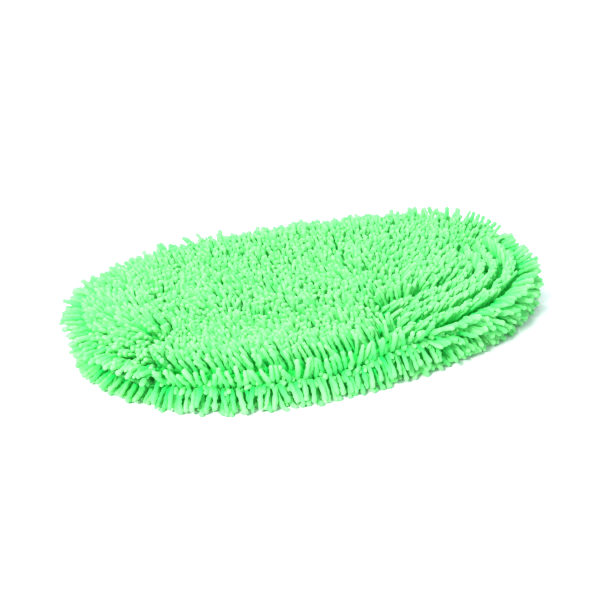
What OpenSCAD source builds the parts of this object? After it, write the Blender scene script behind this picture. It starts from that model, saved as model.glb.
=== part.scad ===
// Two-sided chenille wash mitt lying flat: +X towards the closed end, -X the mouth, +Z up.
// The origin is on the surface it lies on, at the middle of its plan.

/* [Overall size] */
// Length over the pile tips
mitt_l = 300; // [240:1:360]
// Width over the pile tips, at half length
mitt_w = 183; // [145:1:225]

/* [Plan shape] */
// Squareness of the mouth end (2 is an ellipse, more is squarer)
mouth_square = 2.25; // [2:0.01:3.5]
// Squareness of the closed end's front corner, at -Y
front_tip_square = 2.15; // [2:0.01:5]
// Squareness of the closed end's back corner, at +Y
back_tip_square = 4; // [2:0.01:5]
// Share by which the closed end is narrower and the mouth end wider than half way
taper = 0.11; // [0:0.01:0.2]
// How far the edge pile stands out beyond the sewn panels
edge_reach = 12; // [8:0.5:16]

/* [Layers] */
// Thickness of the pressed pile under the mitt
lower_pile_h = 8.4; // [6:0.1:14]
// Height of the loose pile on top
upper_pile_h = 11.4; // [8:0.1:18]
// Thickness of the knitted backing that holds the pile
backing_t = 1.0; // [0.6:0.1:2]
// Thickness of the pocket lining
lining_t = 0.6; // [0.4:0.1:1.2]
// Height of the hand pocket while the mitt lies flat
pocket_h = 7; // [6:0.1:20]

/* [Edge profile] */
// Distance from the pile tips over which the top rounds off
shoulder_r = 30; // [18:1:50]
// Distance from the pile tips over which the bottom rounds off
foot_r = 5; // [2:0.5:8]
// Fullness of both roundings (2 is an ellipse)
shoulder_full = 2.4; // [2:0.1:4]

/* [Mouth hem] */
// Width of the mouth between the ends of the side seams
mouth_w = 104; // [90:1:120]
// Width of the hem tape
hem_w = 12; // [10:0.5:16]
// Thickness of the hem tape
tape_t = 0.6; // [0.4:0.1:1]
// Width of the elastic in the hem
elastic_w = 6; // [4:0.5:8]
// Thickness of the elastic
elastic_t = 1.0; // [0.6:0.1:1.2]

/* [Seam] */
// Width of the turned-in seam allowance
seam_w = 8; // [5:0.5:12]
// Thickness of the seam allowance, four layers of cloth
seam_t = 4.5; // [3:0.1:6]
// Thickness of the sewing thread
thread_d = 0.4; // [0.3:0.05:0.6]
// Distance between two hem stitches
hem_pitch = 3.2; // [2.5:0.1:5]
// Length of one hem stitch
hem_stitch_l = 2.4; // [1.5:0.1:2.5]
// Distance between two overlock stitches
overlock_pitch = 5; // [4:0.5:8]
// Length of one overlock stitch
overlock_l = 4.5; // [3:0.5:6]
// Number of stitches in each corner bartack
bartack_n = 7; // [5:1:9]

/* [Label] */
// Width of the blank care label, along the side seam
label_w = 25; // [15:1:35]
// Length of the care label, into the pocket
label_l = 32; // [20:1:40]
// Thickness of the care label
label_t = 0.3; // [0.2:0.05:0.4]
// Distance from the middle of the mitt to the middle of the label, towards the mouth
label_from_middle = 62; // [40:1:70]

/* [Hidden] */

pile_green = "palegreen";
backing_green = "mediumseagreen";
lining_green = "darkseagreen";
tape_green = "seagreen";
thread_green = "limegreen";

clear = 0.05;          // between cloth layers that lie on each other
side_gap = 0.25;       // between the panel edge and the edge pile
half_gap = 0.2;        // from the split between the two halves to each of them
bed_gap = 0.2;         // round the hem and its stitches in the pile
thread_gap = 0.02;     // between a stitch and the cloth that it lies on
row_in = 0.8;          // from the elastic, and from the hem's inner edge, to a stitch row
elastic_in = 1;        // from the mouth edge of the hem to the elastic
cloth_in = 1;          // from the elastic to the edge of the cloth held in the hem
outline_n = 96;        // points round the plan
over = 0.5;            // how far a cutting shape overshoots

// Heights of the layers
backing_z = lower_pile_h;
lining_z = backing_z + backing_t;
pocket_z = lining_z + lining_t;
pocket_top_z = pocket_z + pocket_h;
upper_backing_z = pocket_top_z + lining_t;
upper_pile_z = upper_backing_z + backing_t;
top_z = upper_pile_z + upper_pile_h;
panel_t = backing_t + lining_t;
label_z = pocket_z + clear;
seam_z = label_z + label_t + clear;
split_z = seam_z + seam_t + half_gap;

// Distances in from the panel edge, and heights, at the side seam
inside_rim = backing_t + 2 * side_gap;
seam_edge = inside_rim + seam_w;
seam_top_z = seam_z + seam_t + thread_d / 2 + thread_gap;
overlock_slant = 70;                   // turn of each overlock stitch from the seam's direction
bartack_pitch = 2 * thread_d;
bartack_from = 1.5;                    // curve angle from the seam's end to its bartack
overlock_from = 4;                     // curve angle from the seam's end to the overlock

// The mouth end is at 180 degrees of the plan curve
function square_at(t) =
    cos(t) < 0 ? mouth_square : sin(t) < 0 ? front_tip_square : back_tip_square;

// Point of the plan curve that lies d inside the pile tips, at curve angle t
function plan_pt(d, t) =
    let (n = square_at(t),
         reach = pow(pow(abs(cos(t)), n) + pow(abs(sin(t)), n), -1 / n),
         x = (mitt_l / 2 - d) * reach * cos(t),
         y = (mitt_w / 2 - d) * reach * sin(t))
    [x, y * (1 - taper * x / (mitt_l / 2))];

// The same, d inside the edge of the sewn panels
function panel_pt(d, t) = plan_pt(edge_reach + d, t);

// Curve angle, counted from the mouth's middle, where the panel edge is y from the middle
function mouth_angle(y, lo = 0, hi = 90, steps = 24) =
    let (mid = (lo + hi) / 2)
    steps == 0 ? mid
    : panel_pt(0, 180 - mid)[1] < y ? mouth_angle(y, mid, hi, steps - 1)
    : mouth_angle(y, lo, mid, steps - 1);

mouth_a = mouth_angle(mouth_w / 2);
corner_a = 1.2;                        // angle left free between hem and side seam
hem_slit_a = 1;                        // angle by which the fold's inside runs past its ends
hem_row_a = 1;                         // angle from the hem's end to its stitches
hem_from = 180 - mouth_a + corner_a;
hem_to = 180 + mouth_a - corner_a;
seam_from = -180 + mouth_a + corner_a;
seam_to = 180 - mouth_a - corner_a;

// Angles from a to b, with every outline point's angle between them
function arc_angles(a, b) =
    let (step = 360 / outline_n)
    [a, for (i = [floor(a / step) + 1:ceil(b / step) - 1]) i * step, b];

// Angles at equal distances along the panel curve d inside its edge, from a to b
function arc_lengths(d, ts, i = 0, sum = 0, out = [0]) =
    i >= len(ts) - 1 ? out
    : let (s = sum + norm(panel_pt(d, ts[i + 1]) - panel_pt(d, ts[i])))
      arc_lengths(d, ts, i + 1, s, concat(out, [s]));
function even_angles(d, a, b, pitch) =
    let (ts = arc_angles(a, b),
         ss = arc_lengths(d, ts),
         total = ss[len(ss) - 1],
         n = floor(total / pitch))
    [for (k = [0:n - 1]) lookup((k + 0.5) * total / n, [for (i = [0:len(ts) - 1]) [ss[i], ts[i]]])];

// Direction of the panel curve at angle t, in degrees
function curve_dir(d, t) =
    let (v = panel_pt(d, t + 0.5) - panel_pt(d, t - 0.5))
    atan2(v[1], v[0]);

// Height of the pile tips above the split, at distance d in from the outermost tips
function shoulder_z(d) =
    let (u = max(0, 1 - d / shoulder_r))
    split_z + (top_z - split_z) * pow(1 - pow(u, shoulder_full), 1 / shoulder_full);

// Distance in from the outermost tips, at height z below the split
function foot_in(z) =
    let (u = 1 - z / split_z)
    foot_r * (1 - pow(1 - pow(u, shoulder_full), 1 / shoulder_full));

function ring(d, z) =
    [for (i = [0:outline_n - 1]) let (p = plan_pt(d, 360 * i / outline_n)) [p[0], p[1], z]];

// Closed tube: section is a list of [distance in from the tips, height], in order
module swept_ring(section) {
    m = len(section);
    n = outline_n;
    pts = [for (s = section) each ring(s[0], s[1])];
    polyhedron(pts, [for (j = [0:m - 1]) for (i = [0:n - 1])
        let (a = j * n + i, b = j * n + (i + 1) % n,
             c = ((j + 1) % m) * n + (i + 1) % n, e = ((j + 1) % m) * n + i)
        each [[a, e, b], [b, e, c]]]);
}

// Closed slab: section runs from the lower rim to the upper rim
module swept_slab(section) {
    m = len(section);
    n = outline_n;
    pts = [for (s = section) each ring(s[0], s[1])];
    walls = [for (j = [0:m - 2]) for (i = [0:n - 1])
        let (a = j * n + i, b = j * n + (i + 1) % n, c = b + n, e = a + n)
        each [[a, e, b], [b, e, c]]];
    floor_face = [[for (i = [0:n - 1]) i]];
    roof_face = [[for (i = [n - 1:-1:0]) (m - 1) * n + i]];
    polyhedron(pts, concat(walls, floor_face, roof_face));
}

// Flat shape of the panel, d inside its edge
module panel_shape(d) {
    polygon([for (i = [0:outline_n - 1]) panel_pt(d, 360 * i / outline_n)]);
}

// Band that follows the panel edge from distance d0 to d1 inside it, between two angles
module edge_band(d0, d1, from, to) {
    ts = arc_angles(from, to);
    n = len(ts);
    polygon(concat([for (i = [0:n - 1]) panel_pt(d0, ts[i])],
                   [for (i = [n - 1:-1:0]) panel_pt(d1, ts[i])]));
}

// Slab of cloth with its mouth edge set back to sit inside the hem
module cloth(d, z, t) {
    translate([0, 0, z]) linear_extrude(t) difference() {
        panel_shape(d);
        edge_band(-over, elastic_in + elastic_w + cloth_in, 180 - mouth_a, 180 + mouth_a);
    }
}

module backing(plate_z, rim_z, rim_h) {
    color(backing_green) {
        cloth(side_gap, plate_z, backing_t - clear);
        translate([0, 0, rim_z])
            linear_extrude(rim_h) edge_band(side_gap, backing_t, seam_from, seam_to);
    }
}

// Space of the mouth: between the pile of both halves, a little wider than the hem
module mouth_space(z0, z1) {
    translate([0, 0, z0]) linear_extrude(z1 - z0)
        edge_band(-edge_reach - over, over, hem_from - corner_a, hem_to + corner_a);
}

// Shallow bed in the pile for the hem tape
module hem_bed(z0, z1) {
    translate([0, 0, z0])
        linear_extrude(z1 - z0)
            edge_band(-over, hem_w + bed_gap, hem_from - corner_a / 2, hem_to + corner_a / 2);
}

// Folded tape, open towards the pocket side of its edge; z is the panel's lower face
module hem(z) {
    color(tape_green) difference() {
        translate([0, 0, z - tape_t])
            linear_extrude(panel_t + 2 * tape_t) edge_band(side_gap, hem_w, hem_from, hem_to);
        translate([0, 0, z - clear])
            linear_extrude(panel_t + 2 * clear)
                edge_band(side_gap + tape_t, hem_w + over, hem_from - hem_slit_a, hem_to + hem_slit_a);
    }
}

module elastic(z) {
    color("ivory") translate([0, 0, z + (panel_t - elastic_t) / 2])
        linear_extrude(elastic_t) edge_band(elastic_in, elastic_in + elastic_w, hem_from, hem_to);
}

// One straight stitch, centred on the origin, along X
module stitch(l) {
    rotate([0, 90, 0]) cylinder(d = thread_d, h = l, center = true, $fn = 16);
}

module stitch_row(d, z, from, to, pitch, l, turn) {
    for (t = even_angles(d, from, to, pitch)) {
        p = panel_pt(d, t);
        translate([p[0], p[1], z]) rotate([0, 0, curve_dir(d, t) + turn]) stitch(l);
    }
}

// Two rows on each face of the hem; z is the panel's lower face
module hem_stitches(z) {
    lift = tape_t + thread_d / 2 + thread_gap;
    color(thread_green)
        for (d = [elastic_in + elastic_w + row_in, hem_w - row_in])
            for (face_z = [z - lift, z + panel_t + lift])
                stitch_row(d, face_z, hem_from + hem_row_a, hem_to - hem_row_a, hem_pitch,
                           hem_stitch_l, 0);
}

module lower_pile() {
    color(pile_green) difference() {
        linear_extrude(lower_pile_h - clear) panel_shape(side_gap);
        hem_bed(backing_z - tape_t - thread_d - bed_gap, backing_z + over);
    }
}

module lower_edge_pile() {
    top = split_z - half_gap;
    foot_n = 5;
    foot = [for (k = [0:foot_n]) let (z = top * (1 - k / foot_n) * (1 - k / foot_n)) [foot_in(z), z]];
    color(pile_green) difference() {
        swept_ring(concat(foot, [[edge_reach, 0], [edge_reach, top]]));
        mouth_space(backing_z - clear, top + over);
    }
}

module lower_backing() {
    backing(backing_z, backing_z, split_z - half_gap - backing_z);
}

module lower_lining() {
    color(lining_green) cloth(inside_rim, lining_z, lining_t);
}

module lower_hem() {
    hem(backing_z);
}

module lower_elastic() {
    elastic(backing_z);
}

module lower_hem_stitches() {
    hem_stitches(backing_z);
}

module upper_pile() {
    steps = 6;
    rim = edge_reach + side_gap;
    roof = [for (k = [0:steps]) let (d = rim + (shoulder_r - edge_reach) * k / steps)
            [d, shoulder_z(d)]];
    color(pile_green) difference() {
        swept_slab(concat([[rim, upper_pile_z + clear]], roof));
        hem_bed(upper_pile_z - over, upper_pile_z + tape_t + thread_d + bed_gap);
    }
}

module upper_edge_pile() {
    base = split_z + half_gap;
    steps = 6;
    crown = [for (k = [1:steps]) let (d = edge_reach * k * k / (steps * steps)) [d, shoulder_z(d)]];
    color(pile_green) difference() {
        swept_ring(concat([[edge_reach, base], [0, base]], crown));
        mouth_space(base - over, upper_pile_z + clear);
    }
}

module upper_backing() {
    backing(upper_backing_z, split_z + half_gap, upper_pile_z - split_z - half_gap - clear);
}

module upper_lining() {
    color(lining_green) cloth(inside_rim, pocket_top_z, lining_t - clear);
}

module upper_hem() {
    hem(pocket_top_z);
}

module upper_elastic() {
    elastic(pocket_top_z);
}

module upper_hem_stitches() {
    hem_stitches(pocket_top_z);
}

module edge_seam() {
    color(backing_green) translate([0, 0, seam_z])
        linear_extrude(seam_t) edge_band(inside_rim, seam_edge, seam_from, seam_to);
}

// Slanted stitches over the inner edge of the seam allowance
module overlock_thread() {
    color(thread_green)
        stitch_row(seam_edge - overlock_l / 2 + over, seam_top_z, seam_from + overlock_from,
                   seam_to - overlock_from, overlock_pitch, overlock_l, overlock_slant);
}

// A block of close stitches across each end of the side seams
module corner_bartacks() {
    d = inside_rim + seam_w / 2;
    color(thread_green)
        for (t = [seam_from + bartack_from, seam_to - bartack_from]) {
            p = panel_pt(d, t);
            translate([p[0], p[1], seam_top_z]) rotate([0, 0, curve_dir(d, t) + 90])
                for (k = [0:bartack_n - 1])
                    translate([0, (k - (bartack_n - 1) / 2) * bartack_pitch, 0])
                        stitch(seam_w - 2 * row_in);
        }
}

// Half width of the panel curve d inside the edge, at distance x towards the mouth
function half_width(d, x) =
    let (n = mouth_square, a = mitt_l / 2 - edge_reach - d, b = mitt_w / 2 - edge_reach - d)
    b * pow(1 - pow(x / a, n), 1 / n) * (1 + taper * x / (mitt_l / 2));

label_row_in = 1.5;                    // from the seam allowance to the label's stitches
label_tuck = 3;                        // how far the label reaches under the seam allowance
label_seam_y = half_width(seam_edge, label_from_middle + label_w / 2);

module care_label() {
    color("white") translate([-label_from_middle - label_w / 2, -label_seam_y - label_tuck, label_z])
        cube([label_w, label_l, label_t]);
}

module label_stitches() {
    n = floor(label_w / hem_pitch);
    z = label_z + label_t + thread_d / 2 + thread_gap;
    color(thread_green)
        for (k = [0:n - 1])
            translate([(k - (n - 1) / 2) * hem_pitch - label_from_middle, label_row_in - label_seam_y, z])
                stitch(hem_stitch_l);
}

lower_pile();
lower_edge_pile();
lower_backing();
lower_lining();
lower_hem();
lower_elastic();
lower_hem_stitches();
upper_pile();
upper_edge_pile();
upper_backing();
upper_lining();
upper_hem();
upper_elastic();
upper_hem_stitches();
edge_seam();
overlock_thread();
corner_bartacks();
care_label();
label_stitches();
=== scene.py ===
"""Chenille wash mitt: the pile, cloth, hem and stitches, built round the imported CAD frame."""

import math

import bpy
import numpy as np
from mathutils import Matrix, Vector

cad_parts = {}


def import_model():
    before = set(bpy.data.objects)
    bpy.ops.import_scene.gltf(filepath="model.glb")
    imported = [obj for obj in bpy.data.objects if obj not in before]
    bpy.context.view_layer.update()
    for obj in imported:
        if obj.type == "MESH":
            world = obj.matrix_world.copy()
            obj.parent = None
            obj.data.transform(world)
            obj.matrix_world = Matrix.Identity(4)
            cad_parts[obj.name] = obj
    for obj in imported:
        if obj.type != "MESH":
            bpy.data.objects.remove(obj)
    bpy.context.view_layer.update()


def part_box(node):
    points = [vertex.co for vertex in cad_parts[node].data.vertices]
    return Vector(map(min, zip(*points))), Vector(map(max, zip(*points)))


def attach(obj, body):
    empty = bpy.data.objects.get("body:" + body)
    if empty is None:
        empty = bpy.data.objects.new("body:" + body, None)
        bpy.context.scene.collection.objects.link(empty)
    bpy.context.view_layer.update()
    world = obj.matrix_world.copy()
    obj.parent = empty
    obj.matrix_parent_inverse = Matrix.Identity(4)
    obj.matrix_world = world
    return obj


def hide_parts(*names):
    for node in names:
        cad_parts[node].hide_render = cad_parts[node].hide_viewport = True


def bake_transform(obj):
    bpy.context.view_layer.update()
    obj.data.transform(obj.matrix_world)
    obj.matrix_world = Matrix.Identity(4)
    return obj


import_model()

MM = 0.001
rng = np.random.default_rng(7)

# ---------------------------------------------------------------- sizes, in millimetres


def node_box(name):
    low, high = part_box(name)
    return np.array(low) / MM, np.array(high) / MM


tips_low, tips_high = node_box("lower_edge_pile")
panel_low, panel_high = node_box("upper_pile")
lower_low, lower_high = node_box("lower_pile")
seam_low, seam_high = node_box("edge_seam")
upper_hem_low, upper_hem_high = node_box("upper_hem")
lower_hem_low, lower_hem_high = node_box("lower_hem")
label_low, label_high = node_box("care_label")

# the plan curve of the CAD
MOUTH_SQUARE, FRONT_TIP_SQUARE, BACK_TIP_SQUARE, TAPER = 2.25, 2.15, 4.0, 0.11
HALF_L = (tips_high[0] - tips_low[0]) / 2
PANEL_A = (panel_high[0] - panel_low[0]) / 2
REACH = HALF_L - PANEL_A
HALF_W = 91.5
PANEL_B = HALF_W - REACH

MOUTH_HALF = upper_hem_high[1]
SEAM_Z = seam_high[2] + 0.2
UPPER_Z = panel_low[2]
LOWER_Z = lower_high[2]
ROLL = 9.0  # how far in from its edge a panel turns flat
SAG = 6.0  # how far the front of the edge sinks

NOODLE_L, NOODLE_R, EDGE_NOODLE_R = 15.0, 1.2, 1.36
LINKS = 6  # points along a noodle while it settles
SETTLE_ROUNDS = 30

# cloth, seams and threads
HEM_W, TAPE_T, PANEL_T = 12.0, 0.6, 1.6
BACKING_T, LINING_T, LINING_DEPTH, LABEL_T = 0.95, 0.5, 1.05, 0.25
BACKING_IN, LINING_IN = 0.6, 1.6  # from the panel's edge to the edge of each cloth
CLOTH_GAP = 0.15  # between the linings and what lies on them
FOLD_IN, PLEAT = 1.0, 6.2
ELASTIC_IN, ELASTIC_W, ELASTIC_T = 1.2, 6.0, 0.9
HEM_ROWS, HEM_PITCH, HEM_STITCH = (7.8, 11.2), 3.2, 2.4
THREAD_R, THREAD_KNOBS = 0.22, 0.04
SEAM_IN, SEAM_EDGE, SEAM_T = 1.4, 9.2, 4.4
OVERLOCK_PITCH, OVERLOCK_IN = 5.0, 4.1
BARTACK_N, BARTACK_FROM, BARTACK_HALF = 7, 4.0, 3.2
LABEL_ROW = 4.5  # from the end of the label to its stitches
CORNER = math.radians(1.2)  # curve angle left free between the hem and the side seam


def square_at(x, y):
    tip = np.where(y < 0, FRONT_TIP_SQUARE, BACK_TIP_SQUARE)
    return np.where(x < 0, MOUTH_SQUARE, tip)


def plan_level(p):
    """1 on the panel's edge, 0 at its middle, and the outward gradient in 1/mm."""
    x, y = p[..., 0], p[..., 1]
    n = square_at(x, y)
    narrow = 1 - TAPER * x / HALF_L
    u, v = np.abs(x) / PANEL_A, np.abs(y / narrow) / PANEL_B
    q = np.maximum((u**n + v**n) ** (1 / n), 1e-6)
    gx = (q ** (1 - n)) * (
        np.sign(x) * u ** (n - 1) / PANEL_A
        + v ** (n - 1) * np.abs(y) / PANEL_B * TAPER / HALF_L / narrow**2
    )
    gy = (q ** (1 - n)) * np.sign(y) * v ** (n - 1) / (PANEL_B * narrow)
    return q, gx, gy


def smooth(a, b, x):
    t = np.clip((x - a) / (b - a), 0, 1)
    return t * t * (3 - 2 * t)


def slump(x, y):
    """1 where the front of the edge sags, between the mouth and half way."""
    return smooth(45, -20, x) * smooth(-140, -112, x) * smooth(-25, -60, y)


def edge_distance(p):
    """Distance inside the panel's edge, and the outward direction in plan."""
    q, gx, gy = plan_level(p)
    size = np.maximum(np.hypot(gx, gy), 1e-6)
    d = (1 - q) / size
    d = np.where(q < 0.6, np.maximum(d, 30.0), d)
    return d, gx / size, gy / size


def roll(u, full=2.2):
    u = np.clip(1 - u, 0, 1)
    return (1 - u**full) ** (1 / full)


def waves(x, y, seed, size):
    """Smooth random field, about -1 to 1, with features of that size."""
    r = np.random.default_rng(seed)
    out = np.zeros_like(x)
    for _ in range(7):
        a, k, s = r.uniform(0, math.tau), r.uniform(0.6, 1.5), r.uniform(0, math.tau)
        out = out + np.sin((x * math.cos(a) + y * math.sin(a)) * k * math.tau / size + s)
    return out / 3.2


def mouth_share(x, y):
    """1 across the mouth, 0 where the side seam closes the edge."""
    return smooth(MOUTH_HALF + 6, MOUTH_HALF - 1, np.abs(y)) * smooth(-60, -95, x)


def seam_line(x, y):
    return SEAM_Z - SAG * slump(x, y)


def upper_surface(x, y):
    d, _, _ = edge_distance(np.stack([x, y], -1))
    seam = seam_line(x, y)
    seam = seam + (UPPER_Z - seam) * mouth_share(x, y)
    sag = 0.8 * waves(x, y, 3, 90) * smooth(4, 20, d)
    trough = 1.6 * smooth(10, 24, d) * smooth(60, 34, d) * smooth(30, -20, y)
    crown = 0.5 * smooth(30, 70, d)
    rise = roll(d / (ROLL * (1 + slump(x, y))))
    return seam + (UPPER_Z - seam) * rise + sag + crown - trough - 0.3


def lower_surface(x, y):
    d, _, _ = edge_distance(np.stack([x, y], -1))
    seam = seam_line(x, y)
    seam = seam + (LOWER_Z - seam) * mouth_share(x, y)
    return seam - (seam - LOWER_Z) * roll(d / ROLL)


# ---------------------------------------------------------------- where the noodles grow


def plan_curve(d, t):
    """Points of the plan curve d inside the panel edge, at curve angles t."""
    c, s = np.cos(t), np.sin(t)
    n = square_at(c, s)
    reach = (np.abs(c) ** n + np.abs(s) ** n) ** (-1 / n)
    x, y = (PANEL_A - d) * reach * c, (PANEL_B - d) * reach * s
    return np.stack([x, y * (1 - TAPER * x / HALF_L)], -1)


def even_curve(d, pitch, phase=0.0):
    """Points at an equal pitch all round the plan curve."""
    t = np.linspace(-math.pi, math.pi, 4001)
    p = plan_curve(d, t)
    s = np.concatenate([[0], np.cumsum(np.hypot(*np.diff(p, axis=0).T))])
    count = int(s[-1] / pitch)
    at = (np.arange(count) + phase) * s[-1] / count
    return np.stack([np.interp(at, s, p[:, 0]), np.interp(at, s, p[:, 1])], -1)


def along(d, first, last):
    """Length of the plan curve d inside the edge between two angles, and its angles."""
    t = np.linspace(first, last, 2001)
    p = plan_curve(d, t)
    s = np.concatenate([[0], np.cumsum(np.hypot(*np.diff(p, axis=0).T))])
    return s[-1], lambda at: np.interp(at, s, t)


ROW_PITCH, END_ROW_PITCH, IN_ROW = 4.0, 4.4, 2.6
# how much a row at the closed end bows, in 1/mm, in front of its middle and behind
FRONT_BEND, BACK_BEND = 0.0112, 0.0045


# ridges of combed pile, side by side round the closed end's front corner
RIDGES, FIRST_RIDGE, RIDGE_PITCH, RIDGE_IN_ROW, RIDGE_WIDTH = 4, 8.2, 9.5, 1.6, 0.75
RIDGE_FROM, RIDGE_TO = math.radians(-86), math.radians(20)


def ridge_rows():
    """Roots along the ridges, and the direction that the ridge runs at each."""
    found, runs = [], []
    for k in range(RIDGES):
        d = FIRST_RIDGE + RIDGE_PITCH * k
        total, angle = along(d, RIDGE_FROM + 0.05 * k, RIDGE_TO)
        t = angle(np.arange(0, total, RIDGE_IN_ROW))
        p, after = plan_curve(d, t), plan_curve(d, t + 0.01)
        run = unit(after - p)
        across = np.stack([run[:, 1], -run[:, 0]], -1)
        found.append(p + across * rng.normal(0, RIDGE_WIDTH, (len(p), 1)))
        runs.append(run)
    return np.concatenate(found), np.concatenate(runs)


def in_ridges(p):
    """1 where the ridges lie, 0 away from them."""
    d, _, _ = edge_distance(p)
    x, y = p[:, 0], p[:, 1]
    last = FIRST_RIDGE + RIDGE_PITCH * (RIDGES - 0.4)
    return smooth(10, 34, x) * smooth(26, 8, y) * (d < last)


def face_rows(inset, combed=False):
    """Roots in bowed rows over a whole face, no nearer to its edge than inset.
    A combed face leaves the closed end's front corner to the ridges."""
    found = []
    x0 = -PANEL_A
    k = 0
    while x0 < PANEL_A + 40:
        y = np.arange(-PANEL_B - 10, PANEL_B + 10, IN_ROW) + (k % 2) * IN_ROW / 2
        bend = np.where(y < 0, FRONT_BEND, BACK_BEND) if x0 > 0 else BACK_BEND
        x = x0 - bend * (x0 / 118) * min(abs(x0) / 118, 1.3) * y * y
        found.append(np.stack([x, y], -1))
        x0 += ROW_PITCH + (END_ROW_PITCH - ROW_PITCH) * smooth(30, 90, x0)
        k += 1
    p = np.concatenate(found)
    p = p + rng.normal(0, 1, p.shape) * (0.5 - 0.3 * smooth(40, 90, p[:, :1]))
    if combed:
        p = p[rng.random(len(p)) > in_ridges(p)]
    d, _, _ = edge_distance(p)
    return p[d > inset]


# for each ring of noodles round the edge: inset, height, first rise, pitch, tip's fall
# and share of a noodle's length; the last is the short row along the ridge
RINGS_ROUND = [
    (2.2, 17.9, 1.1, 3.6, 0.0, 1.08),
    (0.6, 16.8, 0.35, 4.0, -0.35, 1.08),
    (0.3, 14.4, -0.1, 5.3, -0.9, 1.08),
    (1.0, 11.4, -0.5, 5.0, -1.0, 1.08),
    (1.8, 17.3, 0.75, 2.2, 0.15, 0.5),
]


# where a noodle belongs: on a face, or in a ring round the edge of the upper or lower panel
UPPER, UPPER_EDGE, LOWER_EDGE, LOWER = range(4)


def unit(v):
    return v / np.maximum(np.linalg.norm(v, axis=-1, keepdims=True), 1e-9)


def vec(x, y, z):
    return np.stack(np.broadcast_arrays(x, y, z), -1).astype(float)


def surface_normal(p, height, sign):
    e = 0.5
    x, y = p[:, 0], p[:, 1]
    gx = (height(x + e, y) - height(x - e, y)) / (2 * e)
    gy = (height(x, y + e) - height(x, y - e)) / (2 * e)
    return unit(vec(-gx * sign, -gy * sign, sign))


def comb_top(p, d, ox, oy):
    """Which way the loose pile on top leans: a plan vector whose length is the lean."""
    x, y = p[:, 0], p[:, 1]
    rim = smooth(22, 12, d)
    front = smooth(0.25, 0.75, -oy) * smooth(70, 20, x) * smooth(-122, -95, x)
    back = smooth(0.25, 0.8, oy)

    def toward(lean, weight, u, v):
        w = weight[:, None]
        return lean * (1 - w) + w * np.stack([u + 0 * x, v + 0 * x], -1)

    size = (0.95 + 0.35 * waves(x, y, 11, 60))[:, None]
    lean = np.array([[-0.34, 0.3]]) * size
    lean = lean + 0.34 * np.stack([waves(x, y, 12, 34), waves(x, y, 13, 34)], -1)
    # behind, the pile is brushed away from the front; at the closed end along its rows
    lean = toward(lean, 0.75 * smooth(10, 50, y), -0.15, 0.25)
    lean = toward(lean, smooth(15, 75, x) * smooth(70, 20, y), 0.55, 0.2)
    lean = toward(lean, smooth(60, 110, x) * smooth(10, 50, y), 0.45, 0.35)
    lean = toward(lean, smooth(108, 128, x), 0.9 * ox + 0.2, 0.6 * oy)
    away = np.hypot(x + 96, y + 12)
    lean = toward(lean, smooth(-90, -112, x), 1.25 * (x + 96) / away, 1.25 * (y + 12) / away)
    # along the front edge it is combed back over the top, and to the right further on
    lean = toward(lean, front * rim, -0.38, 0.62)
    lean = toward(lean, smooth(18, 6, d) * smooth(10, 55, x) * smooth(0.1, -0.3, oy), 1.1, -0.25)
    lean = toward(lean, back * rim, 0.8 * ox, 0.75 * oy)
    return lean * (1 - 0.75 * smooth(90, 116, x) * smooth(12, 45, y))[:, None]


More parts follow.
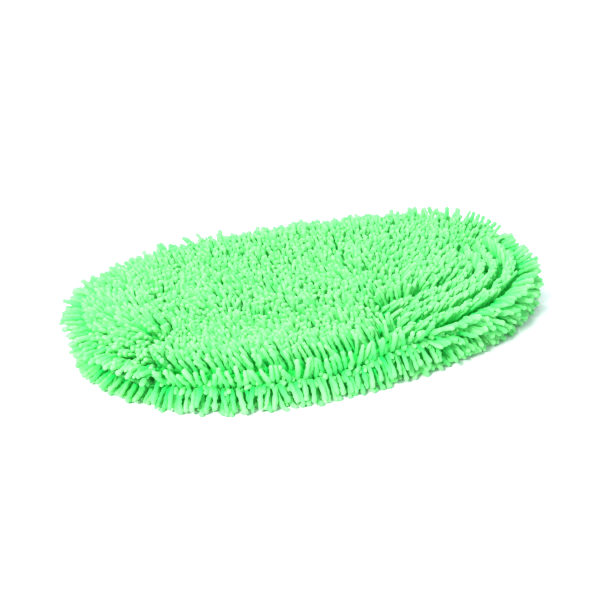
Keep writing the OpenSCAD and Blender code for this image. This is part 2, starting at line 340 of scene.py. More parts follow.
def grow():
    """Roots, first directions, tip directions, lengths and zones of all the noodles."""
    roots, starts, ends, lengths, zones = [], [], [], [], []

    def add(r, s, e, scale, zone):
        roots.append(r)
        starts.append(unit(s))
        ends.append(unit(e))
        lengths.append(NOODLE_L * scale * rng.normal(1, 0.05, len(r)).clip(0.85, 1.15))
        zones.append(zone + np.zeros(len(r), int))

    p = face_rows(5.0, combed=True)
    d, ox, oy = edge_distance(p)
    z = upper_surface(p[:, 0], p[:, 1])
    n = surface_normal(p, upper_surface, 1.0)
    lean = comb_top(p, d, ox, oy) + rng.normal(0, 0.16, (len(p), 2))
    e = n + np.concatenate([lean * 1.3, np.zeros((len(p), 1))], 1)
    add(vec(p[:, 0], p[:, 1], z), n + 0.4 * (e - n), e, 0.9, UPPER)

    p, run = ridge_rows()
    kept = rng.random(len(p)) < in_ridges(p)
    p, run = p[kept], run[kept]
    _, ox, oy = edge_distance(p)
    z = upper_surface(p[:, 0], p[:, 1])
    n = surface_normal(p, upper_surface, 1.0)
    lean = 1.35 * run + 0.25 * np.stack([ox, oy], -1) + rng.normal(0, 0.09, (len(p), 2))
    e = n + np.concatenate([lean, np.zeros((len(p), 1))], 1)
    add(vec(p[:, 0], p[:, 1], z), n + 0.5 * (e - n), e, 0.95, UPPER)

    # rings round the edge: over, on and under the seam line
    for k, (inset, z0, rise, pitch, fall, scale) in enumerate(RINGS_ROUND):
        p = even_curve(inset, pitch, 0.37 * k)
        p = p + rng.normal(0, 0.4 if k < 4 else 1.0, p.shape)
        _, ox, oy = edge_distance(p)
        front = smooth(0.3, 0.75, -oy)
        fan = smooth(0, 70, p[:, 0]) * smooth(0.1, -0.3, oy)
        start = vec(ox, oy, rise + rng.normal(0, 0.15, len(p)))
        swing = 0.5 * waves(p[:, 0], p[:, 1], 31 + k, 22) + rng.normal(0, 0.2, len(p))
        if k == 0:  # combed back over the top in front, thrown outward elsewhere
            over = front * (1 - fan)
            tall = 1.6 * smooth(92, 118, p[:, 0]) * smooth(0.0, 0.5, oy)
            e = vec(
                ox * (1 - over) - 0.35 * over,
                oy * (1 - over) + 0.25 * over,
                0.25 + 0.85 * over + tall,
            )
            zone = UPPER_EDGE
        else:
            steep = 0.6 * front * (1 - fan) * (k < 4)
            e = vec(ox * 0.85, oy * (0.85 - 0.35 * front), fall - steep)
            zone = (LOWER_EDGE, LOWER_EDGE, LOWER_EDGE, UPPER_EDGE)[k - 1]
        # near the closed end's front corner all are combed to the right
        thrown = 0.65 * fan[:, None]
        e = e * (1 - thrown) + vec(1.0, -0.3, 0.25 - 0.28 * k) * thrown
        e = e + vec(-oy, ox, 0) * swing[:, None] + rng.normal(0, 0.12, e.shape)
        low = slump(p[:, 0], p[:, 1])
        z = z0 - (z0 - LOWER_Z) * SAG / (SEAM_Z - LOWER_Z) * low + rng.normal(0, 0.7, len(p))
        e[:, 2] -= 0.5 * low * (k > 0)
        # across the mouth two rings stay on the upper panel and two on the lower
        share = mouth_share(p[:, 0], p[:, 1])
        side = -1 if k in (2, 3) else 1
        level = (UPPER_Z + 0.9 if side > 0 else LOWER_Z - 0.9) + 0.3 * side * (k % 2)
        z = z * (1 - share) + level * share
        share = share[:, None]
        start = start * (1 - share) + vec(ox, oy, side * 0.5) * share
        away = vec(ox, oy, (0.25, -0.05, -0.25, -0.45, 0.4)[k]) + rng.normal(0, 0.16, e.shape)
        e = e * (1 - share) + away * share
        zone = np.where((share[:, 0] > 0.5) & (k == 1), UPPER_EDGE, zone)
        reach = scale * (1 - 0.26 * share[:, 0] * (side < 0))
        kept = rng.random(len(p)) > 0.55 * low * (side < 0)
        place = vec(p[:, 0], p[:, 1], z)
        add(place[kept], start[kept], e[kept], reach[kept], zone[kept])

    p = face_rows(3.0)
    d, ox, oy = edge_distance(p)
    z = lower_surface(p[:, 0], p[:, 1])
    n = surface_normal(p, lower_surface, -1.0)
    a = 2.2 * waves(p[:, 0], p[:, 1], 21, 120) + rng.normal(0, 0.35, len(p))
    out = smooth(16, 4, d)
    e = vec(
        np.cos(a) * (1 - out) + ox * out, np.sin(a) * (1 - out) + oy * out, -0.35
    )
    add(vec(p[:, 0], p[:, 1], z), n + 0.6 * e, e, 0.95, LOWER)
    return tuple(np.concatenate(v) for v in (roots, starts, ends, lengths, zones))


# ---------------------------------------------------------------- how they settle


def close_pairs(p, reach):
    """Index pairs of points nearer than reach, found with a sorted grid of cells."""
    c = np.floor((p - p.min(0)) / reach).astype(np.int64) + 1
    size = c.max(0) + 2
    key = (c[:, 0] * size[1] + c[:, 1]) * size[2] + c[:, 2]
    order = np.argsort(key, kind="stable")
    cells, first, count = np.unique(key[order], return_index=True, return_counts=True)
    left, right = [], []
    for dx in (0, 1):
        for dy in (-1, 0, 1):
            for dz in (-1, 0, 1):
                if (dx, dy, dz) < (0, 0, 0):
                    continue
                want = key + (dx * size[1] + dy) * size[2] + dz
                at = np.searchsorted(cells, want).clip(0, len(cells) - 1)
                hit = np.nonzero(cells[at] == want)[0]
                n = count[at[hit]]
                i = np.repeat(hit, n)
                step = np.arange(len(i)) - np.repeat(np.cumsum(n) - n, n)
                j = order[np.repeat(first[at[hit]], n) + step]
                if (dx, dy, dz) == (0, 0, 0):
                    keep = i < j
                    i, j = i[keep], j[keep]
                left.append(i)
                right.append(j)
    i, j = np.concatenate(left), np.concatenate(right)
    near = ((p[i] - p[j]) ** 2).sum(1) < reach * reach
    return i[near], j[near]


# how strongly a noodle keeps its first shape, how fast it droops, how near two may come as
# a share of their width, and the smallest cosine of the bend between two links
SHAPE_HOLD, DROOP, NEAREST, LEAST_COS = 0.06, 0.07, 0.96, 0.62


def settle(roots, starts, ends, lengths, zones):
    """Lets every noodle droop, push its neighbours aside and come to lie on the floor."""
    count = len(roots)
    link = (lengths / (LINKS - 1))[:, None]
    aim = np.zeros((count, LINKS, 3))
    aim[:, 0] = roots
    for k in range(1, LINKS):
        t = ((k - 0.5) / (LINKS - 1)) ** 0.8
        aim[:, k] = aim[:, k - 1] + unit(starts * (1 - t) + ends * t) * link
    pts = aim.copy()
    chain = np.repeat(np.arange(count), LINKS)
    upper = zones <= UPPER_EDGE
    gap = 2 * NOODLE_R * NEAREST
    for it in range(SETTLE_ROUNDS):
        ease = it / SETTLE_ROUNDS
        pts[:, 2:] += SHAPE_HOLD * (1 - ease) * (aim[:, 2:] - pts[:, 2:])
        drop = DROOP * np.arange(LINKS) / LINKS
        pts[:, :, 2] -= drop[None] * (zones != LOWER)[:, None]
        flat = pts.reshape(-1, 3)
        if it % 2 == 0:
            i, j = close_pairs(flat, gap * 1.15)
            keep = (chain[i] != chain[j]) & ((i % LINKS > 0) | (j % LINKS > 0))
            i, j = i[keep], j[keep]
        v = flat[i] - flat[j]
        dist = np.maximum(np.linalg.norm(v, axis=1), 1e-6)
        push = np.maximum(gap - dist, 0)[:, None] * v / dist[:, None] * 0.5
        total = np.zeros_like(flat)
        for axis in range(3):
            total[:, axis] = np.bincount(i, push[:, axis], len(flat)) - np.bincount(
                j, push[:, axis], len(flat)
            )
        hits = np.bincount(i, minlength=len(flat)) + np.bincount(j, minlength=len(flat))
        flat += total / np.maximum(1, hits * 0.5)[:, None]
        pts = flat.reshape(count, LINKS, 3)
        # stay outside the cloth and above the floor
        x, y = pts[..., 0], pts[..., 1]
        d, ox, oy = edge_distance(np.stack([x, y], -1))
        top = upper_surface(x, y) + NOODLE_R * 0.8
        low = lower_surface(x, y) - NOODLE_R * 0.8
        inside = d > 0.5
        up = upper[:, None] & inside & (np.arange(LINKS)[None] > 0)
        pts[..., 2] = np.where(up, np.maximum(pts[..., 2], top), pts[..., 2])
        dn = ~upper[:, None] & inside & (np.arange(LINKS)[None] > 0)
        pts[..., 2] = np.where(dn, np.minimum(pts[..., 2], low), pts[..., 2])
        pts[..., 2] = np.maximum(pts[..., 2], NOODLE_R)
        # keep the links their length and the bends gentle
        pts[:, 0] = roots
        pts[:, 1] = roots + unit(pts[:, 1] - roots + 1.2 * starts * link) * link
        for k in range(2, LINKS):
            before, here = pts[:, k - 1], pts[:, k]
            straight = unit(before - pts[:, k - 2])
            v = unit(here - before)
            cos = (v * straight).sum(1, keepdims=True)
            stiff = unit(v + straight * (LEAST_COS - cos + 0.25))
            v = np.where(cos < LEAST_COS, stiff, v)
            pts[:, k] = before + v * link
    return pts


# ---------------------------------------------------------------- noodle meshes

SIDES, RINGS = 8, 13


def noodle_mesh(name, pts, tints, radius=NOODLE_R, knobs=0.16):
    """One mesh of many round-ended, slightly knobbly noodles, with its own UV cells."""
    n = len(pts)
    u = np.concatenate([np.linspace(0, 0.905, RINGS - 2), [0.955, 0.985]])
    at = u * (LINKS - 1)
    k = np.minimum(at.astype(int), LINKS - 2)
    f = (at - k)[None, :, None]
    padded = np.concatenate(
        [2 * pts[:, :1] - pts[:, 1:2], pts, 2 * pts[:, -1:] - pts[:, -2:-1]], 1
    )
    a, b, c, e = (padded[:, k + s] for s in range(4))
    mid = 0.5 * (
        2 * b + (c - a) * f + (2 * a - 5 * b + 4 * c - e) * f**2
        + (3 * b - a - 3 * c + e) * f**3
    )
    tangent = unit(np.gradient(mid, axis=1))
    side = unit(np.cross(tangent[:, 0], np.array([0.3, 0.5, 0.81])))
    sides = []
    for r in range(RINGS):
        side = unit(side - tangent[:, r] * (side * tangent[:, r]).sum(1, keepdims=True))
        sides.append(side)
    side = np.stack(sides, 1)
    other = np.cross(tangent, side)
    body = np.ones(RINGS)
    body[0] = 0.72
    body[-2:] = [0.87, 0.56]
    knob = 1 + knobs * rng.standard_normal((n, RINGS)).clip(-1.5, 1.5)
    knob[:, -2:] = knob[:, -3:-2]
    thick = radius * body[None] * knob * (1 + 0.4 * knobs * rng.standard_normal((n, 1)))
    angle = np.arange(SIDES) * math.tau / SIDES
    lump = 1 + 0.7 * knobs * rng.standard_normal((n, RINGS, SIDES))
    spoke = (
        side[:, :, None] * np.cos(angle)[None, None, :, None]
        + other[:, :, None] * np.sin(angle)[None, None, :, None]
    )
    co = mid[:, :, None] + spoke * (thick[:, :, None] * lump)[..., None]
    per = RINGS * SIDES + 1
    co = np.concatenate([co.reshape(n, -1, 3), pts[:, -1:]], 1).reshape(-1, 3) * MM
    co[:, 2] = np.maximum(co[:, 2], 0)

    r, s = np.meshgrid(np.arange(RINGS - 1), np.arange(SIDES), indexing="ij")
    q = np.stack(
        [r * SIDES + s, r * SIDES + (s + 1) % SIDES,
         (r + 1) * SIDES + (s + 1) % SIDES, (r + 1) * SIDES + s], -1
    ).reshape(-1, 4)
    quv = np.stack(
        [np.stack([s, r], -1), np.stack([s + 1, r], -1),
         np.stack([s + 1, r + 1], -1), np.stack([s, r + 1], -1)], 2
    ).reshape(-1, 4, 2) / np.array([SIDES, RINGS])
    s = np.arange(SIDES)
    last = (RINGS - 1) * SIDES
    tri = np.stack([last + s, last + (s + 1) % SIDES, np.full(SIDES, per - 1)], -1)
    tuv = np.stack(
        [np.stack([s, 0 * s + RINGS - 1], -1), np.stack([s + 1, 0 * s + RINGS - 1], -1),
         np.stack([s + 0.5, 0 * s + RINGS], -1)], 1
    ) / np.array([SIDES, RINGS])
    quads, tris = len(q), len(tri)
    base = (np.arange(n) * per)[:, None, None]
    loops = np.concatenate(
        [(q[None] + base).reshape(n, -1), (tri[None] + base).reshape(n, -1)], 1
    ).reshape(-1)
    sizes = np.tile(np.concatenate([np.full(quads, 4), np.full(tris, 3)]), n)
    starts = np.concatenate([[0], np.cumsum(sizes)[:-1]])
    mesh = bpy.data.meshes.new(name)
    mesh.vertices.add(len(co))
    mesh.vertices.foreach_set("co", co.astype(np.float32).ravel())
    mesh.loops.add(len(loops))
    mesh.loops.foreach_set("vertex_index", loops.astype(np.int32))
    mesh.polygons.add(len(sizes))
    mesh.polygons.foreach_set("loop_start", starts.astype(np.int32))
    mesh.polygons.foreach_set("loop_total", sizes.astype(np.int32))
    mesh.polygons.foreach_set("use_smooth", np.ones(len(sizes), bool))
    mesh.update(calc_edges=True)
    grid = math.ceil(math.sqrt(n))
    cell = np.stack([np.arange(n) % grid, np.arange(n) // grid], -1)[:, None]
    one = np.concatenate([quv.reshape(-1, 2), tuv.reshape(-1, 2)])[None]
    uv = (cell + 0.08 + 0.84 * one) / grid
    layer = mesh.uv_layers.new(name="OFBake")
    layer.data.foreach_set("uv", uv.reshape(-1).astype(np.float32))
    tint = mesh.attributes.new("tint", "FLOAT", "POINT")
    tint.data.foreach_set("value", np.repeat(tints, per).astype(np.float32))
    # root-to-tip value, 0 at the root and 1 at the tip; the pile material paints shade at the roots
    # and light at the tips from it
    along = mesh.attributes.new("along", "FLOAT", "POINT")
    line = np.concatenate([np.repeat(u, SIDES), [1.0]])
    along.data.foreach_set("value", np.tile(line, n).astype(np.float32))
    return mesh


def new_object(name, mesh, material):
    obj = bpy.data.objects.new(name, mesh)
    bpy.context.scene.collection.objects.link(obj)
    mesh.materials.append(material)
    return obj


# ---------------------------------------------------------------- materials


def node_tree(name):
    mat = bpy.data.materials.new(name)
    mat.use_nodes = True
    nodes, links = mat.node_tree.nodes, mat.node_tree.links
    return mat, nodes, links, nodes["Principled BSDF"]


def pile_material():
    mat, nodes, links, shader = node_tree("chenille_pile")
    tint = nodes.new("ShaderNodeAttribute")
    tint.attribute_name = "tint"
    along = nodes.new("ShaderNodeAttribute")
    along.attribute_name = "along"
    place = nodes.new("ShaderNodeTexCoord")
    fuzz = nodes.new("ShaderNodeTexNoise")
    fuzz.inputs["Scale"].default_value = 1400
    fuzz.inputs["Detail"].default_value = 3
    links.new(place.outputs["Object"], fuzz.inputs["Vector"])
    # painted shade and painted light: the ramp runs from deep, dark green to pale green, so each
    # noodle is painted dark at its root, where shade falls between noodles, and pale at its tip,
    # where light falls; the random tint and fuzz add real tone
    shade = nodes.new("ShaderNodeValToRGB")
    shade.color_ramp.elements[0].position = 0.25
    shade.color_ramp.elements[0].color = (0.003, 0.62, 0.10, 1)
    shade.color_ramp.elements[1].position = 0.85
    shade.color_ramp.elements[1].color = (0.265, 0.80, 0.28, 1)
    mix = nodes.new("ShaderNodeMath")
    mix.operation = "MULTIPLY_ADD"
    mix.inputs[1].default_value = 0.3
    links.new(tint.outputs["Fac"], mix.inputs[0])
    # painted shade: half the root-to-tip value darkens the roots and lightens the tips
    part = nodes.new("ShaderNodeMath")
    part.operation = "MULTIPLY"
    part.inputs[1].default_value = 0.5
    links.new(along.outputs["Fac"], part.inputs[0])
    links.new(part.outputs[0], mix.inputs[2])
    speck = nodes.new("ShaderNodeMath")
    speck.operation = "MULTIPLY_ADD"
    speck.inputs[1].default_value = 0.25
    links.new(fuzz.outputs["Fac"], speck.inputs[0])
    links.new(mix.outputs[0], speck.inputs[2])
    links.new(speck.outputs[0], shade.inputs["Fac"])
    links.new(shade.outputs["Color"], shader.inputs["Base Color"])
    bump = nodes.new("ShaderNodeBump")
    bump.inputs["Strength"].default_value = 0.6
    bump.inputs["Distance"].default_value = 0.0004
    links.new(fuzz.outputs["Fac"], bump.inputs["Height"])
    links.new(bump.outputs["Normal"], shader.inputs["Normal"])
    shader.inputs["Roughness"].default_value = 0.9
    shader.inputs["Specular IOR Level"].default_value = 0.15
    shader.inputs["Sheen Weight"].default_value = 0.25
    shader.inputs["Sheen Roughness"].default_value = 0.5
    shader.inputs["Sheen Tint"].default_value = (0.5, 1.0, 0.55, 1)
    # painted light: the pile glows faint green, though it is no lamp, which fills the shade in the
    # gaps between noodles with green
    shader.inputs["Emission Color"].default_value = (0.0, 1.0, 0.12, 1)
    shader.inputs["Emission Strength"].default_value = 0.045
    return mat


# ---------------------------------------------------------------- build

pile_mat = pile_material()
roots, starts, ends, lengths, zones = grow()
chains = settle(roots, starts, ends, lengths, zones)
tints = rng.random(len(roots))


def pile_piece(name, pick):
    radius = NOODLE_R if zones[pick][0] in (UPPER, LOWER) else EDGE_NOODLE_R
    mesh = noodle_mesh(name, chains[pick], tints[pick], radius)
    obj = new_object(name, mesh, pile_mat)
    return obj


def arch(obj):
    """Bakes the placement of a piece of the upper half into its mesh."""
    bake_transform(obj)


front = roots[:, 1] < 0
thirds = np.digitize(roots[:, 0], [-45, 45])
upper_pieces, lower_pieces = [], []
for side_name, side, sign in (("front", front, -1), ("back", ~front, 1)):
    for k, part in enumerate(("mouth", "middle", "closed")):
        pick = side & (thirds == k) & (zones == UPPER)
        obj = pile_piece(f"upper_noodles_{side_name}_{part}", pick)
        arch(obj)
        upper_pieces.append(obj)
    pick = side & (zones == UPPER_EDGE)
    obj = pile_piece(f"upper_edge_noodles_{side_name}", pick)
    arch(obj)
    upper_pieces.append(obj)
    pick = side & (zones == LOWER_EDGE)
    obj = pile_piece(f"lower_edge_noodles_{side_name}", pick)
    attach(obj, "lower_half")
    lower_pieces.append(obj)
    for k, part in enumerate(("mouth", "middle", "closed")):
        pick = side & (thirds == k) & (zones == LOWER)
        obj = pile_piece(f"lower_noodles_{side_name}_{part}", pick)
        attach(obj, "lower_half")
        lower_pieces.append(obj)
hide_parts("upper_pile", "upper_edge_pile")
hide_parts("lower_pile", "lower_edge_pile")

# ---------------------------------------------------------------- cloth


def slab(grids):
    """Vertices and faces of closed sheets, each between an outer and an inner grid."""
    verts, faces, base = [], [], 0
    for outer, inner in grids:
        rows, cols = outer.shape[:2]
        count = rows * cols
        verts.append(np.concatenate([outer.reshape(-1, 3), inner.reshape(-1, 3)]))
        index = np.arange(count).reshape(rows, cols) + base
        a, b, c, e = index[:-1, :-1], index[:-1, 1:], index[1:, 1:], index[1:, :-1]
        face = np.stack([a, b, c, e], -1).reshape(-1, 4)
        rim = np.concatenate([index[0], index[1:, -1], index[-1, -2::-1], index[-2::-1, 0]])
        here, after = rim[:-1], rim[1:]
        wall = np.stack([here, here + count, after + count, after], -1)
        faces += [face, face[:, ::-1] + count, wall]
        base += 2 * count
    return np.concatenate(verts), np.concatenate(faces)


def cloth_piece(name, grids, material):
    verts, faces = slab(grids)
    mesh = bpy.data.meshes.new(name)
    mesh.from_pydata((verts * MM).tolist(), [], faces.tolist())
    mesh.polygons.foreach_set("use_smooth", np.ones(len(mesh.polygons), bool))
    obj = new_object(name, mesh, material)
    return obj


def thread_piece(name, paths):
    paths = np.concatenate(paths)
    mesh = noodle_mesh(name, paths, rng.random(len(paths)), THREAD_R, THREAD_KNOBS)
    obj = new_object(name, mesh, thread_mat)
    return obj


def grid_normals(grid, sign):
    """Unit normals of a grid of points that face up for sign 1 and down for -1."""
    n = unit(np.cross(np.gradient(grid, axis=0), np.gradient(grid, axis=1)))
    rows, cols = grid.shape[:2]
    return n * (sign if n[rows // 2, cols // 2, 2] > 0 else -sign)


def gathers(x, y):
    """Height of the small pleats that the elastic draws up near the mouth."""
    d, _, _ = edge_distance(np.stack([x, y], -1))
    fold = np.sin(y * math.tau / PLEAT + 1.5 * np.sin(y / 7.0)) * smooth(34, 8, d)
    return 0.38 * fold * mouth_share(x, y) + 0.22 * waves(x, y, 51, 24) * smooth(2, 12, d)


def panel_sheet(height, sign, depth, thick, inset, first, last):
    """Outer and inner grid of a panel's sheet, depth inside its outer surface.
    first and last say how much of it, from -1 at the front edge to 1 at the back edge."""
    a, b = PANEL_A - inset, PANEL_B - inset
    x = (a * np.sin(np.linspace(-0.99, 0.99, 130) * math.pi / 2))[:, None]
    w = np.linspace(first, last, 36 if first * last == 0 else 71)
    v = np.sign(w) * (1 - (1 - np.abs(w)) ** 2)
    n = square_at(x, v[None])
    reach = b * (1 - (np.abs(x) / a) ** n) ** (1 / n)
    y = v[None] * reach * (1 - TAPER * x / HALF_L)
    x = x + 0 * y
    grid = np.stack([x, y, height(x, y) + gathers(x, y)], -1)
    normal = grid_normals(grid, sign)
    return grid - normal * depth, grid - normal * (depth + thick)


def surface_point(height, sign, t, d, lift):
    """Points d inside the panel's edge at curve angles t, lift outside its cloth."""
    p = plan_curve(d, t)
    x, y = p[..., 0], p[..., 1]
    return np.stack([x, y, height(x, y) + gathers(x, y) + sign * lift], -1)


def hem_grids(height, sign, first, last):
    """Tape folded round the mouth edge of a panel, between two curve angles."""
    bend = np.linspace(90, -90, 9) * math.pi / 180
    flat = np.linspace(HEM_W, FOLD_IN, 9)[:-1]
    half = PANEL_T / 2 + TAPE_T / 2
    d = np.concatenate([flat, FOLD_IN - half * np.cos(bend), flat[::-1]])
    lift = np.concatenate([0 * flat + half, half * np.sin(bend), 0 * flat - half])
    nd = np.concatenate([0 * flat, -np.cos(bend), 0 * flat])
    nl = np.concatenate([0 * flat + 1, np.sin(bend), 0 * flat - 1])
    t = np.linspace(first, last, 90)[:, None]
    grids = []
    for out in (TAPE_T / 2, -TAPE_T / 2):
        grids.append(
            surface_point(height, sign, t, (d + nd * out)[None],
                          (lift + nl * out - PANEL_T / 2)[None])
        )
    return [tuple(grids)]


def elastic_grids(height, sign, first, last):
    """Flat elastic in the middle of the hem."""
    t = np.linspace(first, last, 90)[:, None]
    d = ELASTIC_IN + ELASTIC_W * np.linspace(0, 1, 9)[None]
    half = ELASTIC_T / 2
    return [
        tuple(surface_point(height, sign, t, d, lift - PANEL_T / 2) for lift in (half, -half))
    ]


def hem_threads(height, sign, first, last):
    """Two rows of stitches on each face of the hem."""
    paths = []
    u = np.linspace(-1, 1, LINKS)
    for d in HEM_ROWS:
        total, angle = along(d, first, last)
        count = int(total / HEM_PITCH)
        at = (np.arange(count) + 0.5) * total / count
        t = angle(at[:, None] + 0.5 * HEM_STITCH * u[None])
        lift = PANEL_T / 2 + TAPE_T + 0.6 * THREAD_R - THREAD_R * np.abs(u) ** 3
        for face in (1, -1):
            paths.append(surface_point(height, sign, t, d, face * lift - PANEL_T / 2))
    return paths


def seam_levels(t, d):
    """Bottom and top of the seam allowance, between the two linings."""
    p = plan_curve(d, t)
    x, y = p[..., 0], p[..., 1]
    ease = gathers(x, y)
    low = lower_surface(x, y) + ease + PANEL_T + CLOTH_GAP
    high = np.minimum(low + SEAM_T, upper_surface(x, y) + ease - PANEL_T - CLOTH_GAP)
    return p, low, np.maximum(high, low + 0.6)


def seam_grids(first, last):
    """The four layers of turned-in cloth along the side seam."""
    t = np.linspace(first, last, 260)[:, None]
    grids = []
    for k in range(4):
        frayed = 0.25 * np.sin(31 * t + 2 * k) * np.cos(17 * t)
        fray = SEAM_EDGE - (0, 0.5, 0.2, 0.7)[k] + frayed
        d = SEAM_IN + (fray - SEAM_IN) * np.linspace(0, 1, 7)[None]
        p, low, high = seam_levels(t, d)
        step = (high - low) / 4
        faces = [low + k * step, low + (k + 0.86) * step]
        grids.append(tuple(np.concatenate([p, z[..., None]], -1) for z in faces[::-1]))
    return grids


def seam_thread_points(t, d, share):
    """Points round the seam allowance: share 1 is just above its top, 0 just below it."""
    p, low, high = seam_levels(t, d)
    z = low - THREAD_R + share * (high - low + 2 * THREAD_R)
    return np.concatenate([p, z[..., None]], -1)


def overlock_paths(first, last):
    """Slanted stitches round the inner edge of the seam allowance, and their needle line."""
    total, angle = along(SEAM_EDGE, first, last)
    count = int(total / OVERLOCK_PITCH)
    at = (np.arange(count) + 0.5) * total / count
    slant = np.linspace(-0.3, 0.3, LINKS) * OVERLOCK_PITCH
    d = SEAM_EDGE + np.array([-4.0, -2.9, -1.6, -0.4, 0.35, 0.2])
    share = np.array([1.0, 1.03, 1.03, 1.0, 0.6, 0.15])
    wrap = seam_thread_points(angle(at[:, None] + slant[None]), d[None], share[None])
    u = np.linspace(-1, 1, LINKS)
    t = angle(at[:, None] + 0.47 * OVERLOCK_PITCH * u[None])
    needle = seam_thread_points(t, SEAM_EDGE - OVERLOCK_IN, 1.05 - 0.05 * np.abs(u) ** 3)
    return [wrap, needle]


def bartack_paths(first, last):
    """A block of close stitches across each end of the side seams."""
    paths = []
    total, angle = along(SEAM_EDGE / 2, first, last)
    for end in (BARTACK_FROM, total - BARTACK_FROM):
        at = end + (np.arange(BARTACK_N) - (BARTACK_N - 1) / 2) * 2.1 * THREAD_R * 2
        u = np.linspace(-1, 1, LINKS)
        d = (SEAM_IN + SEAM_EDGE) / 2 + BARTACK_HALF * u
        t = angle(at)[:, None] + 0 * u[None]
        paths.append(seam_thread_points(t, d[None], 1.08 - 0.06 * np.abs(u[None]) ** 3))
    return paths


def label_surface(x, y):
    """Top of the lower lining, and the label's slight curl away from it."""
    free = np.clip((y - label_low[1]) / (label_high[1] - label_low[1]), 0, 1)
    curl = 0.9 * free**3 + 0.25 * np.sin(x * 0.33) * free
    return lower_surface(x, y) + gathers(x, y) + PANEL_T + CLOTH_GAP + curl


def label_grids():
    x = np.linspace(label_low[0], label_high[0], 26)[:, None]
    y = np.linspace(label_low[1], label_high[1], 34)[None]
    x, y = x + 0 * y, y + 0 * x
    z = label_surface(x, y)
    return [(np.stack([x, y, z + LABEL_T], -1), np.stack([x, y, z], -1))]


def label_paths():
    """A row of stitches along the end of the label that is sewn to the lining."""
    count = int((label_high[0] - label_low[0]) / HEM_PITCH)
    middle = (label_high[0] + label_low[0]) / 2
    u = np.linspace(-1, 1, LINKS)[None]
    place = (np.arange(count)[:, None] - (count - 1) / 2) * HEM_PITCH
    x = middle + place + 0.5 * HEM_STITCH * u
    y = label_low[1] + LABEL_ROW + 0 * x
    z = label_surface(x, y) + LABEL_T + 0.6 * THREAD_R - THREAD_R * np.abs(u) ** 3
    return [np.stack([x, y, z], -1)]


def cloth_material(name, dark, light, wale, course, ridge, sheen=0.15):
    """Knitted cloth: two crossed bands of that pitch in metres, and uneven yarn."""
    mat, nodes, links, shader = node_tree(name)
    place = nodes.new("ShaderNodeTexCoord")
    bands = []
    for direction, pitch in (("X", wale), ("Y", course)):
        band = nodes.new("ShaderNodeTexWave")
        band.bands_direction = direction
        band.inputs["Scale"].default_value = math.tau / 20 / pitch
        band.inputs["Distortion"].default_value = 1.2
        band.inputs["Detail Scale"].default_value = 3.0
        links.new(place.outputs["Object"], band.inputs["Vector"])
        bands.append(band)
    yarn = nodes.new("ShaderNodeTexNoise")
    yarn.inputs["Scale"].default_value = 900
    links.new(place.outputs["Object"], yarn.inputs["Vector"])
    knit = nodes.new("ShaderNodeMath")
    knit.operation = "MULTIPLY"
    links.new(bands[0].outputs["Fac"], knit.inputs[0])
    links.new(bands[1].outputs["Fac"], knit.inputs[1])
    worn = nodes.new("ShaderNodeMath")
    worn.operation = "MULTIPLY_ADD"
    worn.inputs[1].default_value = 0.4
    links.new(yarn.outputs["Fac"], worn.inputs[0])
    links.new(knit.outputs[0], worn.inputs[2])
    ramp = nodes.new("ShaderNodeValToRGB")
    ramp.color_ramp.elements[0].color = (*dark, 1)
    ramp.color_ramp.elements[1].color = (*light, 1)
    links.new(worn.outputs[0], ramp.inputs["Fac"])
    links.new(ramp.outputs["Color"], shader.inputs["Base Color"])
    bump = nodes.new("ShaderNodeBump")
    bump.inputs["Strength"].default_value = 0.8
    bump.inputs["Distance"].default_value = ridge
    links.new(worn.outputs[0], bump.inputs["Height"])
    links.new(bump.outputs["Normal"], shader.inputs["Normal"])
    shader.inputs["Roughness"].default_value = 0.88
    shader.inputs["Specular IOR Level"].default_value = 0.2
    shader.inputs["Sheen Weight"].default_value = sheen
    return mat


def thread_material():
    """Twisted thread: slanted bands of two close greens."""
    mat, nodes, links, shader = node_tree("sewing_thread")
    place = nodes.new("ShaderNodeTexCoord")
    twist = nodes.new("ShaderNodeTexWave")
    twist.bands_direction = "DIAGONAL"
    twist.inputs["Scale"].default_value = math.tau / 20 / 0.0005
    links.new(place.outputs["Object"], twist.inputs["Vector"])
    ramp = nodes.new("ShaderNodeValToRGB")
    ramp.color_ramp.elements[0].color = (0.06, 0.52, 0.10, 1)
    ramp.color_ramp.elements[1].color = (0.20, 0.80, 0.26, 1)
    links.new(twist.outputs["Fac"], ramp.inputs["Fac"])
    links.new(ramp.outputs["Color"], shader.inputs["Base Color"])
    shader.inputs["Roughness"].default_value = 0.55
    shader.inputs["Sheen Weight"].default_value = 0.1
    return mat



curve = np.linspace(math.pi / 2, math.pi, 2001)
MOUTH_ANGLE = math.pi - curve[np.argmax(plan_curve(0, curve)[:, 1] < MOUTH_HALF)]
SEAM_FROM, SEAM_TO = -math.pi + MOUTH_ANGLE + CORNER, math.pi - MOUTH_ANGLE - CORNER

backing_mat = cloth_material(
    "knitted_backing", (0.005, 0.55, 0.06), (0.03, 0.80, 0.11), 0.0016, 0.0012, 0.0003
)
lining_mat = cloth_material(
    "brushed_lining", (0.06, 0.45, 0.10), (0.14, 0.68, 0.20), 0.0009, 0.0011, 0.0001, 0.3
)
tape_mat = cloth_material(
    "ribbed_hem_tape", (0.02, 0.36, 0.05), (0.09, 0.66, 0.15), 0.004, 0.0011, 0.0003
)
elastic_mat = cloth_material(
    "braided_elastic", (0.55, 0.53, 0.46), (0.86, 0.85, 0.78), 0.0012, 0.0009, 0.0002
)
label_mat = cloth_material(
    "blank_satin_label", (0.80, 0.80, 0.78), (0.95, 0.95, 0.93), 0.0005, 0.0005, 0.00004, 0.05
)
thread_mat = thread_material()


def lower_piece(name, obj):
    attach(obj, "lower_half")
    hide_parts(name)


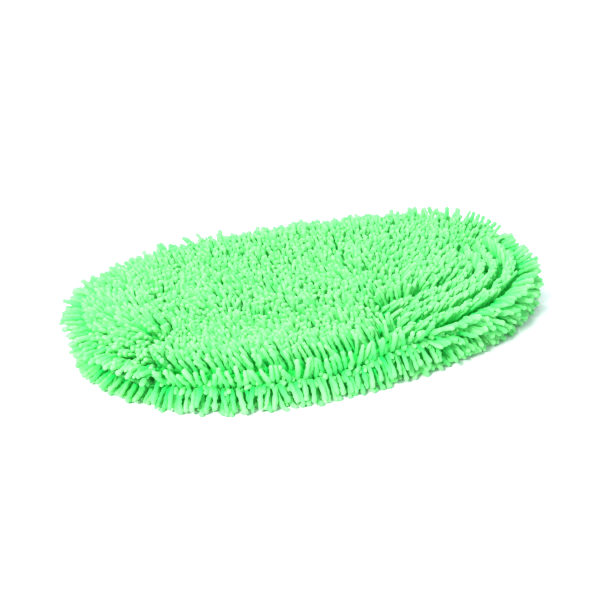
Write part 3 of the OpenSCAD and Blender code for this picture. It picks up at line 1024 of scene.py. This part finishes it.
mouth = (math.pi - MOUTH_ANGLE, math.pi + MOUTH_ANGLE)
lower_piece("lower_backing", cloth_piece(
    "lower_backing_knit", [panel_sheet(lower_surface, -1, 0, BACKING_T, BACKING_IN, -1, 1)],
    backing_mat))
lower_piece("lower_lining", cloth_piece(
    "lower_lining_cloth", [panel_sheet(lower_surface, -1, LINING_DEPTH, LINING_T, LINING_IN, -1, 1)],
    lining_mat))
lower_piece("lower_hem", cloth_piece(
    "lower_hem_tape", hem_grids(lower_surface, -1, *mouth), tape_mat))


lower_piece("lower_elastic", cloth_piece(
    "lower_elastic_band", elastic_grids(lower_surface, -1, *mouth), elastic_mat))
lower_piece("lower_hem_stitches", thread_piece(
    "lower_hem_thread", hem_threads(lower_surface, -1, *mouth)))
lower_piece("edge_seam", cloth_piece(
    "edge_seam_layers", seam_grids(SEAM_FROM, SEAM_TO), backing_mat))
lower_piece("overlock_thread", thread_piece(
    "overlock_stitching", overlock_paths(SEAM_FROM + 0.06, SEAM_TO - 0.06)))
lower_piece("corner_bartacks", thread_piece(
    "corner_bartack_thread", bartack_paths(SEAM_FROM, SEAM_TO)))
lower_piece("care_label", cloth_piece("care_label_ribbon", label_grids(), label_mat))
lower_piece("label_stitches", thread_piece("label_thread", label_paths()))

# upper half: a front and a back piece of each
for side_name, sign in (("front", -1), ("back", 1)):
    first, last = (-1, 0) if sign < 0 else (0, 1)
    arc = (math.pi, math.pi + MOUTH_ANGLE) if sign < 0 else (math.pi - MOUTH_ANGLE, math.pi)
    made = {
        "upper_backing": cloth_piece(
            f"upper_backing_{side_name}",
            [panel_sheet(upper_surface, 1, 0, BACKING_T, BACKING_IN, first, last)],
            backing_mat),
        "upper_lining": cloth_piece(
            f"upper_lining_{side_name}",
            [panel_sheet(upper_surface, 1, LINING_DEPTH, LINING_T, LINING_IN, first, last)],
            lining_mat),
        "upper_hem": cloth_piece(
            f"upper_hem_tape_{side_name}", hem_grids(upper_surface, 1, *arc),
            tape_mat),
        "upper_elastic": cloth_piece(
            f"upper_elastic_{side_name}", elastic_grids(upper_surface, 1, *arc),
            elastic_mat),
        "upper_hem_stitches": thread_piece(
            f"upper_hem_thread_{side_name}", hem_threads(upper_surface, 1, *arc)),
    }
    for node, obj in made.items():
        arch(obj)
        if sign < 0:
            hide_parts(node)


# ---------------------------------------------------------------- floor, light and camera


FLOOR_HALF = 30.0  # metres, so that no view shows its edge near the mitt
# the camera's angles, view and distance, and what it looks at, as fitted to the outline
TURN, RISE, HALF_VIEW = math.radians(-21.8), math.radians(28.0), math.radians(12)
DISTANCE, AIM_Z, AIM_LEFT, AIM_DOWN = 0.8795, 0.015, 0.0039, 0.0027


def floor():
    mesh = bpy.data.meshes.new("floor")
    s = FLOOR_HALF
    mesh.from_pydata([(-s, -s, 0), (s, -s, 0), (s, s, 0), (-s, s, 0)], [], [(0, 1, 2, 3)])
    mat, _, _, shader = node_tree("floor_paper")
    shader.inputs["Base Color"].default_value = (0.93, 0.935, 0.95, 1)
    shader.inputs["Roughness"].default_value = 0.95
    shader.inputs["Specular IOR Level"].default_value = 0.1
    obj = new_object("floor", mesh, mat)
    obj.location.z = -0.0002


def area_light(name, place, aim, size, power, colour=(1, 1, 1)):
    data = bpy.data.lights.new(name, "AREA")
    data.size = size
    data.energy = power
    data.color = colour
    obj = bpy.data.objects.new(name, data)
    bpy.context.scene.collection.objects.link(obj)
    obj.location = place
    obj.rotation_euler = (Vector(aim) - Vector(place)).to_track_quat("-Z", "Y").to_euler()


def camera():
    across = math.cos(RISE)
    back = Vector((math.sin(TURN) * across, -math.cos(TURN) * across, math.sin(RISE)))
    right = Vector((math.cos(TURN), math.sin(TURN), 0))
    up = back.cross(right)
    data = bpy.data.cameras.new("camera")
    data.sensor_width = 36
    data.lens = data.sensor_width / 2 / math.tan(HALF_VIEW)
    obj = bpy.data.objects.new("camera", data)
    bpy.context.scene.collection.objects.link(obj)
    aim = Vector((0, 0, AIM_Z)) - right * AIM_LEFT - up * AIM_DOWN
    obj.location = aim + back * DISTANCE
    obj.rotation_mode = "QUATERNION"
    obj.rotation_quaternion = (-back).to_track_quat("-Z", "Y")
    data.clip_start, data.clip_end = 0.01, 50
    bpy.context.scene.camera = obj


def world():
    sky = bpy.data.worlds.new("studio")
    sky.use_nodes = True
    background = sky.node_tree.nodes["Background"]
    background.inputs["Color"].default_value = (0.82, 0.92, 1, 1)
    background.inputs["Strength"].default_value = 0.84
    bpy.context.scene.world = sky


floor()
world()
area_light("key", (-1.2, -0.8, 1.3), (0, 0, 0), 0.45, 48, (1, 0.98, 0.95))
area_light("top", (0.1, 0.4, 1.8), (0, 0, 0), 1.2, 18)
camera()
scene = bpy.context.scene
scene.view_settings.view_transform = "Standard"
scene.view_settings.look = "None"
